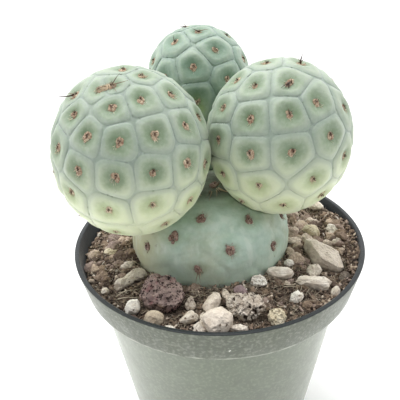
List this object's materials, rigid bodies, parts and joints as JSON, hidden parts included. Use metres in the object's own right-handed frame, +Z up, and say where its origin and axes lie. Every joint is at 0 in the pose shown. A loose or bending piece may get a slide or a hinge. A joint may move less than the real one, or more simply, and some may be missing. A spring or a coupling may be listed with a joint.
{
  "type": "potted cactus",
  "caption": "Potted tephrocactus geometricus: round blue-green stem segments with a net of grooves and woolly areoles, growing on each other in gritty soil in a plastic pot.",
  "frame": {"origin": "centre of the pot's flat foot, on the surface the pot stands on", "axes": "+Z up along the pot's axis, -Y towards the side the picture was taken from, +X to the right in that view"},
  "size_m": [0.0898, 0.0898, 0.1397],
  "materials": {
    "pot": "satin black plastic with a pale dusty film outside",
    "soil": "dark brown peat with tan grit and fibres",
    "young_stem": "waxy pale green with blue-grey bloom",
    "old_stem": "waxy blue-green with mottled white bloom",
    "lava": "rough porous reddish purple",
    "pumice": "rough pale cream",
    "grey_gravel": "rough grey-brown"
  },
  "bodies": {
    "root": {"pot": "pot", "soil": "soil", "segment_base": "old_stem", "segment_left": "young_stem", "segment_right": "young_stem", "segment_back": "old_stem", "lava_stone": "lava", "stone_right_large": "pumice", "stone_right_long": "pumice", "stone_right_pink": "pumice", "stone_right_small": "pumice", "stone_right_white": "pumice", "stone_right_dark": "grey_gravel", "stone_right_slab": "grey_gravel", "stone_stem_oval": "pumice", "stone_stem_small": "pumice", "stone_stem_white": "pumice", "stone_stem_plum": "grey_gravel", "stone_front_large": "pumice", "stone_front_long": "pumice", "stone_front_porous": "pumice", "stone_front_pitted": "pumice", "stone_front_tan": "pumice", "stone_front_speckled": "pumice", "stone_left_long": "pumice", "stone_left_small": "pumice", "stone_left_white": "pumice", "stone_left_round": "pumice", "stone_left_yellow": "pumice", "stone_rear_flat": "pumice"}
  },
  "joints": []
}
